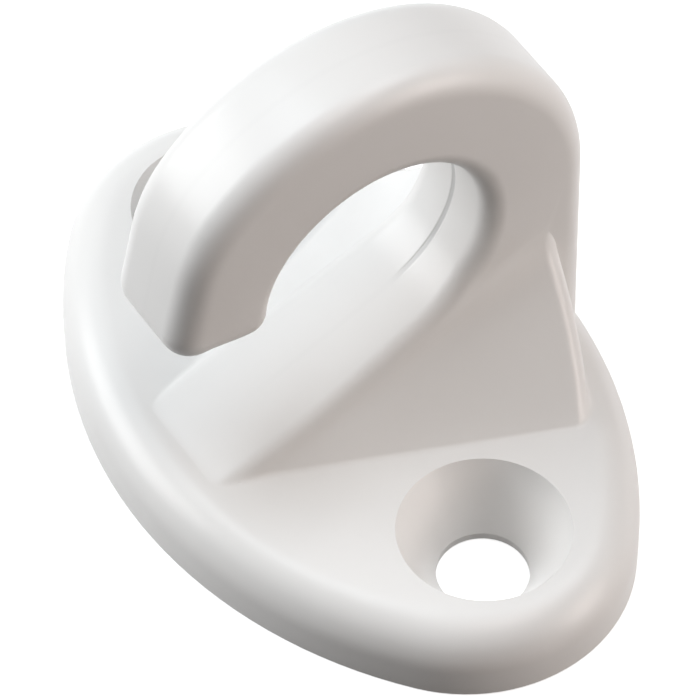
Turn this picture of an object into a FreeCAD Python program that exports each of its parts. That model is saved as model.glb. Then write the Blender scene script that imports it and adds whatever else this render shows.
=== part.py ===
import FreeCAD, Part
import math
import os

# Tie-down hook moulded in one piece. An oval base takes two countersunk screws. From its back edge a
# flat curl rises, goes round an open eye and comes down to a blunt tip. Under the eye a ramp runs
# down to the front of the base, between two flanks that spread out over the base and end in a wall
# set in from its back edge.
# Millimetres. X is the long axis of the base, through both screw holes. -Y is the open side.
# Z is up from the mounting face, and the origin is the middle of that face.

# Base
BASE_LENGTH = 38.0
BASE_WIDTH = 24.7
BASE_END_RADIUS = 8.45
BASE_THICKNESS = 3.8
RIM_ROUND = 2.4

# Screw holes
HOLE_SPACING = 24.4
HOLE_DIAMETER = 4.6
COUNTERSINK_DIAMETER = 8.6
COUNTERSINK_DEPTH = 3.4

# Curl, drawn in the plane X = 0 with points as (Y, Z) and angles from +Y towards +Z.
# Its spine leans out a little, down to the back edge of the base.
CURL_WIDTH = 6.2
EYE_HEIGHT = 14.0
EYE_RADIUS = 6.1
RING_THICKNESS = 6.0
SPINE_INSET = 0.2
SPINE_LEAN = 0.7
NOSE_RADIUS = 7.85
NOSE_START = 135.6
NOSE_END = 167.5
TIP_DROP = 0.5
TIP_OUTER_ROUND = 1.6
TIP_INNER_ROUND = 1.2
OUTER_ROUND = 1.5
INNER_ROUND = 1.1

# Ramp under the eye. It starts just inside the rounding of the rim and leaves the base's top gently.
TOE_INSET = 0.45
RAMP_RADIUS = 90.0
TOE_BLEND = 4.0
TOE_SUNK = 0.05

# Flanks beside the ramp
FLANK_FOOT_X = 6.6
FLANK_SPREAD = 0.40
FLANK_SLOPE = 0.85
FLANK_BLEND = 2.5
FLANK_INSET = 1.9
FLANK_BACK_ROUND = 0.9
FOOT_BLEND = 0.5

# How far the upper body is carried on into the base, and how far under the middle of the eye the
# root of the flanks ends, inside the curl
SUNK = 2.0
ROOT_DROP = 0.75

RING_RADIUS = EYE_RADIUS + RING_THICKNESS
EYE_CENTRE = (BASE_WIDTH / 2 - SPINE_INSET - RING_RADIUS, EYE_HEIGHT)
TIP_HEIGHT = EYE_HEIGHT - TIP_DROP
TOE_Y = RIM_ROUND + TOE_INSET - BASE_WIDTH / 2
NEAR = 1e-3


def point(y, z):
    return FreeCAD.Vector(0, y, z)


def on_circle(centre, radius, angle):
    turn = math.radians(angle)
    return centre[0] + radius * math.cos(turn), centre[1] + radius * math.sin(turn)


def arc(centre, radius, first, last):
    points = [on_circle(centre, radius, a) for a in (first, (first + last) / 2, last)]
    return Part.Arc(*[point(*p) for p in points]).toShape()


def line(start, end):
    return Part.LineSegment(point(*start), point(*end)).toShape()


def middle(edge):
    return edge.valueAt((edge.FirstParameter + edge.LastParameter) / 2)


def ramp_circle():
    """Centre of the large circle that starts at the toe and runs smoothly into the eye."""
    across = EYE_CENTRE[0] - TOE_Y
    rise = EYE_CENTRE[1] - BASE_THICKNESS
    away = math.hypot(across, rise)
    along = (RAMP_RADIUS**2 - (RAMP_RADIUS - EYE_RADIUS) ** 2 + away**2) / (2 * away)
    aside = math.sqrt(RAMP_RADIUS**2 - along**2)
    y = TOE_Y + (along * across - aside * rise) / away
    z = BASE_THICKNESS + (along * rise + aside * across) / away
    meet = math.degrees(math.atan2(EYE_CENTRE[1] - z, EYE_CENTRE[0] - y))
    return (y, z), meet


def toe_circle(ramp):
    """Centre of the small circle that rises from just inside the base and runs into the ramp."""
    z = BASE_THICKNESS - TOE_SUNK + TOE_BLEND
    y = ramp[0] + math.sqrt((RAMP_RADIUS - TOE_BLEND) ** 2 - (ramp[1] - z) ** 2)
    meet = math.degrees(math.atan2(z - ramp[1], y - ramp[0]))
    return (y, z), meet


def inner_edges():
    """From the toe up the ramp, then round the eye to the tip. Also gives the two end points."""
    ramp, ramp_end = ramp_circle()
    toe, toe_end = toe_circle(ramp)
    end = 180 - math.degrees(math.asin((TIP_HEIGHT - EYE_CENTRE[1]) / EYE_RADIUS))
    edges = [
        arc(toe, TOE_BLEND, -90, toe_end),
        arc(ramp, RAMP_RADIUS, toe_end, ramp_end),
        arc(EYE_CENTRE, EYE_RADIUS, ramp_end, end),
    ]
    return edges, on_circle(toe, TOE_BLEND, -90), on_circle(EYE_CENTRE, EYE_RADIUS, end)


def outer_edges(foot_z):
    """From the tip up the nose, round the ring and down the spine. Also gives the two end points."""
    nose = on_circle(EYE_CENTRE, RING_RADIUS - NOSE_RADIUS, NOSE_START)
    nose_end = on_circle(nose, NOSE_RADIUS, NOSE_END)
    drop = nose_end[1] - TIP_HEIGHT
    tip = (nose_end[0] - drop * math.tan(math.radians(180 - NOSE_END)), TIP_HEIGHT)
    spine_top = on_circle(EYE_CENTRE, RING_RADIUS, SPINE_LEAN)
    lean = (spine_top[1] - foot_z) * math.tan(math.radians(SPINE_LEAN))
    spine_foot = (spine_top[0] + lean, foot_z)
    edges = [
        line(tip, nose_end),
        arc(nose, NOSE_RADIUS, NOSE_END, NOSE_START),
        arc(EYE_CENTRE, RING_RADIUS, NOSE_START, SPINE_LEAN),
        line(spine_top, spine_foot),
    ]
    return edges, tip, spine_foot


def slab(width):
    """Side profile of the curl and the ramp, given this width along X."""
    low = BASE_THICKNESS - SUNK
    inner, ramp_start, tip_in = inner_edges()
    outer, tip_out, spine_foot = outer_edges(low)
    toe_foot = (ramp_start[0], low)
    closing = [line(spine_foot, toe_foot), line(toe_foot, ramp_start)]
    face = Part.Face(Part.Wire(inner + [line(tip_in, tip_out)] + outer + closing))
    face.translate(FreeCAD.Vector(-width / 2, 0, 0))
    return face.extrude(FreeCAD.Vector(width, 0, 0))


def curl():
    body = slab(CURL_WIDTH)
    tip = [e for e in body.Edges if abs(middle(e).x) < NEAR and abs(middle(e).z - TIP_HEIGHT) < NEAR]
    outer, inner = sorted(tip, key=lambda e: middle(e).y)
    body = body.makeFillet(TIP_OUTER_ROUND, [outer])
    tip = [e for e in body.Edges if e.isSame(inner) or middle(e).isEqual(middle(inner), NEAR)]
    return body.makeFillet(TIP_INNER_ROUND, tip)


def oval_prism(length, width, end_radius, bottom, height):
    """Upright prism on an oval of four arcs: two tight ones at the ends, two wide ones between."""
    end_x = length / 2 - end_radius
    side_radius = (end_x**2 + (width / 2) ** 2 - end_radius**2) / (width - 2 * end_radius)
    side_y = side_radius - width / 2
    corner_x = end_x * side_radius / (side_radius - end_radius)
    corner_y = side_y * end_radius / (side_radius - end_radius)
    corners = [(corner_x, corner_y), (-corner_x, corner_y), (-corner_x, -corner_y), (corner_x, -corner_y)]
    crests = [(0, width / 2), (-length / 2, 0), (0, -width / 2), (length / 2, 0)]
    edges = []
    for n, crest in enumerate(crests):
        run = [corners[n], crest, corners[(n + 1) % 4]]
        edges.append(Part.Arc(*[FreeCAD.Vector(x, y, bottom) for x, y in run]).toShape())
    return Part.Face(Part.Wire(edges)).extrude(FreeCAD.Vector(0, 0, height))


def base_plate():
    plate = oval_prism(BASE_LENGTH, BASE_WIDTH, BASE_END_RADIUS, 0, BASE_THICKNESS)
    top = [e for e in plate.Edges if e.BoundBox.ZMin > BASE_THICKNESS - NEAR]
    return plate.makeFillet(RIM_ROUND, top)


def flared_prism():
    """As wide as the curl above the creases, and spreading at the flanks' slope below them."""
    half = CURL_WIDTH / 2
    rise = math.atan(FLANK_SPREAD * FLANK_SLOPE)
    along = FreeCAD.Vector(0, math.cos(rise), math.sin(rise))
    up = FreeCAD.Vector(0, -math.sin(rise), math.cos(rise))
    crease = FreeCAD.Vector(0, 0, BASE_THICKNESS + (FLANK_FOOT_X - half) * FLANK_SLOPE)
    reach = BASE_LENGTH
    start = crease - along * reach
    wide = half + reach / (FLANK_SLOPE * math.cos(rise))
    section = [(half, reach), (half, 0), (wide, -reach), (-wide, -reach), (-half, 0), (-half, reach)]
    corners = [start + up * n + FreeCAD.Vector(x, 0, 0) for x, n in section]
    prism = Part.Face(Part.makePolygon(corners + [corners[0]])).extrude(along * 2 * reach)
    creases = []
    for e in prism.Edges:
        off = middle(e) - crease
        if abs(abs(off.x) - half) < NEAR and abs(off.dot(up)) < NEAR:
            creases.append(e)
    return prism.makeFillet(FLANK_BLEND, creases)


def root():
    """The ramp and its flanks, ended by a wall that is set in from the back of the base."""
    low = BASE_THICKNESS - SUNK
    length = BASE_LENGTH - 2 * FLANK_INSET
    width = BASE_WIDTH - FLANK_INSET
    top = EYE_HEIGHT - ROOT_DROP
    limit = oval_prism(length, width, BASE_END_RADIUS - FLANK_INSET, low, top - low)
    limit.translate(FreeCAD.Vector(0, -FLANK_INSET / 2, 0))
    return slab(BASE_LENGTH).common(flared_prism()).common(limit)


def distance(edge, centre):
    m = middle(edge)
    return math.hypot(m.y - centre[0], m.z - centre[1])


def on_ramp(edge):
    ramp, _ = ramp_circle()
    toe, _ = toe_circle(ramp)
    from_ramp = abs(distance(edge, ramp) - RAMP_RADIUS)
    return min(from_ramp, abs(distance(edge, toe) - TOE_BLEND)) < NEAR


def is_wall_edge(edge):
    """Edge between the top of a flank and the wall behind it."""
    m = middle(edge)
    outside = abs(m.x) > CURL_WIDTH / 2 + OUTER_ROUND
    return outside and m.y > BASE_WIDTH / 4 and edge.BoundBox.ZMax > 2 * BASE_THICKNESS


def is_outer_edge(edge):
    """Edge of the spine, the ring, the nose or the outside of the tip."""
    m = middle(edge)
    spine_top = on_circle(EYE_CENTRE, RING_RADIUS, SPINE_LEAN)
    outside = distance(edge, EYE_CENTRE) > EYE_RADIUS + RING_THICKNESS / 2
    return m.y > spine_top[0] - NEAR or (outside and m.z > TIP_HEIGHT)


def roundings(edge):
    """Radii at the two ends of an edge, or None for an edge that isn't rounded here."""
    m = middle(edge)
    aside = abs(m.x) - CURL_WIDTH / 2
    if is_wall_edge(edge):
        return FLANK_BACK_ROUND, FLANK_BACK_ROUND
    if aside > -NEAR and on_ramp(edge):
        return INNER_ROUND, INNER_ROUND
    if abs(aside) > NEAR:
        return None
    if abs(m.z - TIP_HEIGHT) < NEAR:
        from_inside = edge.firstVertex(True).Point.y > m.y
        return (INNER_ROUND, OUTER_ROUND) if from_inside else (OUTER_ROUND, INNER_ROUND)
    if distance(edge, EYE_CENTRE) < EYE_RADIUS + TIP_INNER_ROUND:
        return INNER_ROUND, INNER_ROUND
    return (OUTER_ROUND, OUTER_ROUND) if is_outer_edge(edge) else None


def rounded(body):
    """Rounds the curl, less inside than outside with the change along the tip, and the walls."""
    document = FreeCAD.newDocument()
    sharp = document.addObject("Part::Feature", "sharp")
    sharp.Shape = body
    rounding = document.addObject("Part::Fillet", "rounding")
    rounding.Base = sharp
    radii = [roundings(e) for e in body.Edges]
    rounding.Edges = [(n, *ends) for n, ends in enumerate(radii, 1) if ends]
    document.recompute()
    return rounding.Shape


def is_toe_edge(edge):
    m = middle(edge)
    return abs(m.x) < NEAR and m.y < TOE_Y / 2 and abs(m.z - BASE_THICKNESS) < NEAR


def screw_hole(x):
    clear = 1.0
    through = Part.makeCylinder(HOLE_DIAMETER / 2, BASE_THICKNESS + 2 * clear, FreeCAD.Vector(x, 0, -clear))
    slope = (COUNTERSINK_DIAMETER - HOLE_DIAMETER) / 2 / COUNTERSINK_DEPTH
    wide = COUNTERSINK_DIAMETER / 2 + slope * clear
    bottom = FreeCAD.Vector(x, 0, BASE_THICKNESS - COUNTERSINK_DEPTH)
    return through.fuse(Part.makeCone(HOLE_DIAMETER / 2, wide, COUNTERSINK_DEPTH + clear, bottom))


def hook_body():
    upper = rounded(curl().fuse(root()).removeSplitter())
    body = upper.fuse(base_plate()).removeSplitter()
    body = body.makeFillet(FOOT_BLEND, [e for e in body.Edges if is_toe_edge(e)])
    for x in (-HOLE_SPACING / 2, HOLE_SPACING / 2):
        body = body.cut(screw_hole(x))
    return body.Solids[0]


if __name__ == "__main__":
    os.makedirs("parts", exist_ok=True)
    hook_body().exportStep("parts/hook_body.step")
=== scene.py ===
import math

import bmesh
import bpy
from mathutils import Matrix, Vector


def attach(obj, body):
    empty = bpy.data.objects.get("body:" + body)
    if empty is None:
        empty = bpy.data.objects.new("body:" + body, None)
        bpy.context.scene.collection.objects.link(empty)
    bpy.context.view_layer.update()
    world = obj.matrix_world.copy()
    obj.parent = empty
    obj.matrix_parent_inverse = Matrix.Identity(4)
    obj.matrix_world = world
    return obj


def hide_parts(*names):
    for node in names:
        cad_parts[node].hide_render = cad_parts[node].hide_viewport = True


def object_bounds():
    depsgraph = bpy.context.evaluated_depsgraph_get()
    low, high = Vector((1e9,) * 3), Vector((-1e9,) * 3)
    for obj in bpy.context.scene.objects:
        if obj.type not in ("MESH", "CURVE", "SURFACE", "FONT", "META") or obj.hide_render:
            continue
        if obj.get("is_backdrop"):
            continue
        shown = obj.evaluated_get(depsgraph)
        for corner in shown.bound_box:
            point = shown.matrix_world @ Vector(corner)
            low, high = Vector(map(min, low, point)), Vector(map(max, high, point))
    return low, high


# Looks of the moulded tie-down hook: one white plastic piece on a pale floor, under soft studio lights.
# Metres, in the frame of the CAD part: X through the screw holes, -Y the open side, Z up.

# Camera, turned from -Y towards +X and raised above the floor
AZIMUTH = 57.13
ELEVATION = 50.96
DISTANCE = 0.270
TARGET = Vector((0.0, 0.0, 0.005))
LENS = 282.4
SENSOR = 36.0
SHIFT = (0.0045, -0.0029)

# Shading of the hook's mesh: corners closer than MERGE are one, and edges above SHARP_ANGLE stay sharp
MERGE = 1e-6
SHARP_ANGLE = 18.6

# White plastic: the tones of its faint clouds, its gloss, and the relief of slow waves in its surface
TONE_DARK = (0.80, 0.785, 0.77, 1.0)
TONE_LIGHT = (0.84, 0.83, 0.815, 1.0)
CLOUD_SCALE = 160.0
ROUGH_LEAST = 0.30
ROUGH_MOST = 0.40
GRAIN_SCALE = 700.0
WAVE_SCALE = 190.0
WAVE_STRENGTH = 0.30
WAVE_HEIGHT = 0.00012
REFRACTION = 1.48

# Eye of the curl, with its middle as (Y, Z)
EYE = (0.00005, 0.0140)
EYE_RADIUS = 0.0061

# Parting line of the mould, in the plane X = 0: its tone and depth, then where it fades, as pairs of
# a place where it is gone and one where it is full: out from that plane, out from the wall of the eye,
# towards the back of the eye, and up from the base
LINE_TONE = (0.36, 0.36, 0.36, 1.0)
LINE_SHADE = 0.55
LINE_STRENGTH = 0.6
LINE_DEPTH = 0.00004
LINE_FAINT = 0.035
LINE_ACROSS = (0.00021, 0.00008)
LINE_PAST_EYE = (0.0008, 0.0003)
LINE_ON_BACK = (0.0022, 0.0046)
LINE_ABOVE_BASE = (0.0046, 0.0060)

# Soft lights round the hook: azimuth from +X towards +Y, elevation, width, power and colour
LIGHT_DISTANCE = 0.45
LIGHTS = {
    "key": (-135, 25, 0.28, 1.69, (0.985, 0.995, 1.0)),
    "key_above": (-150, 67, 0.20, 0.66, (0.88, 0.95, 1.0)),
    "side": (42, 22, 0.20, 0.58, (1.0, 0.87, 0.80)),
    "side_low": (36, 4, 0.20, 0.50, (1.0, 0.95, 0.92)),
    "side_above": (20, 70, 0.20, 0.38, (1.0, 0.90, 0.84)),
    "back_above": (92, 64, 0.20, 0.54, (0.88, 0.95, 1.0)),
}

# Floor: seen white, and dark for the light that it sends back to the hook
FLOOR_SIZE = 3.0
FLOOR_GAP = 0.0001
FLOOR_SEEN = (0.60, 0.60, 0.60, 1.0)
FLOOR_GLOW = 0.80
FLOOR_LIT = (0.06, 0.05, 0.045, 1.0)


def save_box(key, sizes):
    low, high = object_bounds()
    sizes[key] = [list(low), list(high)]


# Materials

def node(tree, kind, **values):
    new = tree.nodes.new(kind)
    for name, value in values.items():
        setattr(new, name, value)
    return new


def fade(tree, value, gone, full):
    """0 where value is at gone, 1 where it is at full, smooth between."""
    ramp = node(tree, "ShaderNodeMapRange", interpolation_type="SMOOTHSTEP")
    tree.links.new(value, ramp.inputs["Value"])
    ramp.inputs["From Min"].default_value = gone
    ramp.inputs["From Max"].default_value = full
    return ramp.outputs["Result"]


def maths(tree, operation, a, b=None):
    step = node(tree, "ShaderNodeMath", operation=operation)
    for socket, value in zip(step.inputs, (a, b)):
        if value is None:
            continue
        if isinstance(value, (int, float)):
            socket.default_value = value
        else:
            tree.links.new(value, socket)
    return step.outputs[0]


def noise(tree, coords, scale, detail, roughness=0.5):
    cloud = node(tree, "ShaderNodeTexNoise")
    tree.links.new(coords, cloud.inputs["Vector"])
    cloud.inputs["Scale"].default_value = scale
    cloud.inputs["Detail"].default_value = detail
    cloud.inputs["Roughness"].default_value = roughness
    return cloud.outputs["Fac"]


def bump(tree, height, strength, distance, normal=None):
    relief = node(tree, "ShaderNodeBump")
    relief.inputs["Strength"].default_value = strength
    relief.inputs["Distance"].default_value = distance
    tree.links.new(height, relief.inputs["Height"])
    if normal is not None:
        tree.links.new(normal, relief.inputs["Normal"])
    return relief.outputs["Normal"]


def past_eye(tree, y, z):
    """Distance out from the wall of the eye, in the plane of the curl."""
    steps = [maths(tree, "SUBTRACT", at, middle) for at, middle in zip((y, z), EYE)]
    squares = [maths(tree, "MULTIPLY", step, step) for step in steps]
    from_middle = maths(tree, "SQRT", maths(tree, "ADD", *squares))
    return maths(tree, "SUBTRACT", from_middle, EYE_RADIUS)


def parting_line(tree, x, y, z):
    """Line left by the mould where its halves met: clear on the back of the eye, faint elsewhere."""
    line = fade(tree, maths(tree, "ABSOLUTE", x), *LINE_ACROSS)
    round_eye = fade(tree, past_eye(tree, y, z), *LINE_PAST_EYE)
    clear = maths(tree, "MULTIPLY", round_eye, fade(tree, y, *LINE_ON_BACK))
    faint = maths(tree, "MULTIPLY", fade(tree, z, *LINE_ABOVE_BASE), LINE_FAINT)
    return maths(tree, "MULTIPLY", line, maths(tree, "MAXIMUM", clear, faint))


def white_plastic():
    """Satin white moulded plastic: faint clouds, fine grain in its gloss, slow waves, a parting line."""
    material = bpy.data.materials.new("white_plastic")
    material.use_nodes = True
    tree = material.node_tree
    tree.nodes.clear()
    out = node(tree, "ShaderNodeOutputMaterial")
    shader = node(tree, "ShaderNodeBsdfPrincipled")
    shader.inputs["IOR"].default_value = REFRACTION
    tree.links.new(shader.outputs["BSDF"], out.inputs["Surface"])
    coords = node(tree, "ShaderNodeTexCoord").outputs["Object"]
    split = node(tree, "ShaderNodeSeparateXYZ")
    tree.links.new(coords, split.inputs["Vector"])
    line = parting_line(tree, *(split.outputs[axis] for axis in "XYZ"))

    tone = node(tree, "ShaderNodeMix", data_type="RGBA")
    tree.links.new(noise(tree, coords, CLOUD_SCALE, 4.0), tone.inputs["Factor"])
    tone.inputs["A"].default_value = TONE_DARK
    tone.inputs["B"].default_value = TONE_LIGHT
    lined = node(tree, "ShaderNodeMix", data_type="RGBA")
    tree.links.new(maths(tree, "MULTIPLY", line, LINE_SHADE), lined.inputs["Factor"])
    tree.links.new(tone.outputs["Result"], lined.inputs["A"])
    lined.inputs["B"].default_value = LINE_TONE
    tree.links.new(lined.outputs["Result"], shader.inputs["Base Color"])

    rough = node(tree, "ShaderNodeMapRange")
    tree.links.new(noise(tree, coords, GRAIN_SCALE, 6.0, 0.65), rough.inputs["Value"])
    rough.inputs["To Min"].default_value = ROUGH_LEAST
    rough.inputs["To Max"].default_value = ROUGH_MOST
    tree.links.new(rough.outputs["Result"], shader.inputs["Roughness"])

    waves = bump(tree, noise(tree, coords, WAVE_SCALE, 1.0), WAVE_STRENGTH, WAVE_HEIGHT)
    groove = maths(tree, "MULTIPLY", line, -1.0)
    relief = bump(tree, groove, LINE_STRENGTH, LINE_DEPTH, waves)
    tree.links.new(relief, shader.inputs["Normal"])
    return material


# The hook

def fine_copy(source, name):
    """Merged and smoothly shaded copy of a CAD node's mesh. Its normals are worked out afresh."""
    mesh = source.data.copy()
    mesh.name = name
    work = bmesh.new()
    work.from_mesh(mesh)
    bmesh.ops.remove_doubles(work, verts=work.verts, dist=MERGE)
    work.to_mesh(mesh)
    work.free()
    loaded = mesh.attributes.get("custom_normal")
    if loaded is not None:
        mesh.attributes.remove(loaded)
    mesh.set_sharp_from_angle(angle=math.radians(SHARP_ANGLE))
    mesh.materials.clear()
    piece = bpy.data.objects.new(name, mesh)
    bpy.context.scene.collection.objects.link(piece)
    return piece


# Floor, lights and camera

def floor_material():
    """Glowing white where it is seen straight or in a reflection, and dull to all other light."""
    material = bpy.data.materials.new("floor")
    material.use_nodes = True
    tree = material.node_tree
    tree.nodes.clear()
    out = node(tree, "ShaderNodeOutputMaterial")
    pale = node(tree, "ShaderNodeBsdfDiffuse")
    pale.inputs["Color"].default_value = FLOOR_SEEN
    glow = node(tree, "ShaderNodeEmission")
    glow.inputs["Strength"].default_value = FLOOR_GLOW
    white = node(tree, "ShaderNodeAddShader")
    tree.links.new(pale.outputs[0], white.inputs[0])
    tree.links.new(glow.outputs[0], white.inputs[1])
    dull = node(tree, "ShaderNodeBsdfDiffuse")
    dull.inputs["Color"].default_value = FLOOR_LIT
    path = node(tree, "ShaderNodeLightPath")
    seen = maths(tree, "MAXIMUM", path.outputs["Is Camera Ray"], path.outputs["Is Glossy Ray"])
    seen = maths(tree, "MAXIMUM", seen, path.outputs["Is Transmission Ray"])
    choice = node(tree, "ShaderNodeMixShader")
    tree.links.new(seen, choice.inputs["Fac"])
    tree.links.new(dull.outputs[0], choice.inputs[1])
    tree.links.new(white.outputs[0], choice.inputs[2])
    tree.links.new(choice.outputs[0], out.inputs["Surface"])
    return material


def floor():
    bpy.ops.mesh.primitive_plane_add(size=FLOOR_SIZE, location=(0, 0, -FLOOR_GAP))
    plane = bpy.context.object
    plane.name = "floor"
    plane.data.materials.append(floor_material())
    plane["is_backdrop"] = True


def direction(azimuth, elevation):
    a, e = math.radians(azimuth), math.radians(elevation)
    return Vector((math.cos(a) * math.cos(e), math.sin(a) * math.cos(e), math.sin(e)))


def soft_light(name, azimuth, elevation, width, power, colour):
    """Square light at LIGHT_DISTANCE from the hook, turned towards it."""
    light = bpy.data.lights.new(name, "AREA")
    light.shape = "SQUARE"
    light.size = width
    light.energy = power
    light.color = colour
    lamp = bpy.data.objects.new(name, light)
    away = direction(azimuth, elevation)
    lamp.location = TARGET + away * LIGHT_DISTANCE
    lamp.rotation_euler = away.to_track_quat("Z", "Y").to_euler()
    bpy.context.scene.collection.objects.link(lamp)


def studio():
    """The lights, in a world that gives none of its own."""
    world = bpy.data.worlds.new("studio")
    bpy.context.scene.world = world
    world.use_nodes = True
    world.node_tree.nodes["Background"].inputs["Strength"].default_value = 0.0
    for name, values in LIGHTS.items():
        soft_light(name, *values)


def camera():
    """Camera at the photo's angle."""
    back = direction(AZIMUTH - 90.0, ELEVATION)
    right = direction(AZIMUTH, 0.0)
    up = back.cross(right)
    data = bpy.data.cameras.new("camera")
    data.lens = LENS
    data.sensor_width = SENSOR
    data.shift_x, data.shift_y = SHIFT
    data.clip_start = 0.01
    data.clip_end = 10.0
    viewer = bpy.data.objects.new("camera", data)
    place = TARGET + back * DISTANCE
    turn = Matrix((right, up, back)).transposed().to_4x4()
    viewer.matrix_world = Matrix.Translation(place) @ turn
    bpy.context.scene.collection.objects.link(viewer)
    bpy.context.scene.camera = viewer


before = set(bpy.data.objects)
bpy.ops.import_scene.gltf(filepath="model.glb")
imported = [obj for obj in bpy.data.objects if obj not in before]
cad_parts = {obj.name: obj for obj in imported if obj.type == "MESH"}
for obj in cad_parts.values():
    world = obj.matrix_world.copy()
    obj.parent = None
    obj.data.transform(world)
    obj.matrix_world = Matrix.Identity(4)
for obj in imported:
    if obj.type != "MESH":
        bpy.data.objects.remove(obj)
sizes = {}
save_box("loaded", sizes)

hook = fine_copy(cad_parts["hook_body"], "hook")
hook.data.materials.append(white_plastic())
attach(hook, "root")
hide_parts("hook_body")

floor()
studio()
camera()
bpy.context.scene.view_settings.view_transform = "Standard"

save_box("finished", sizes)
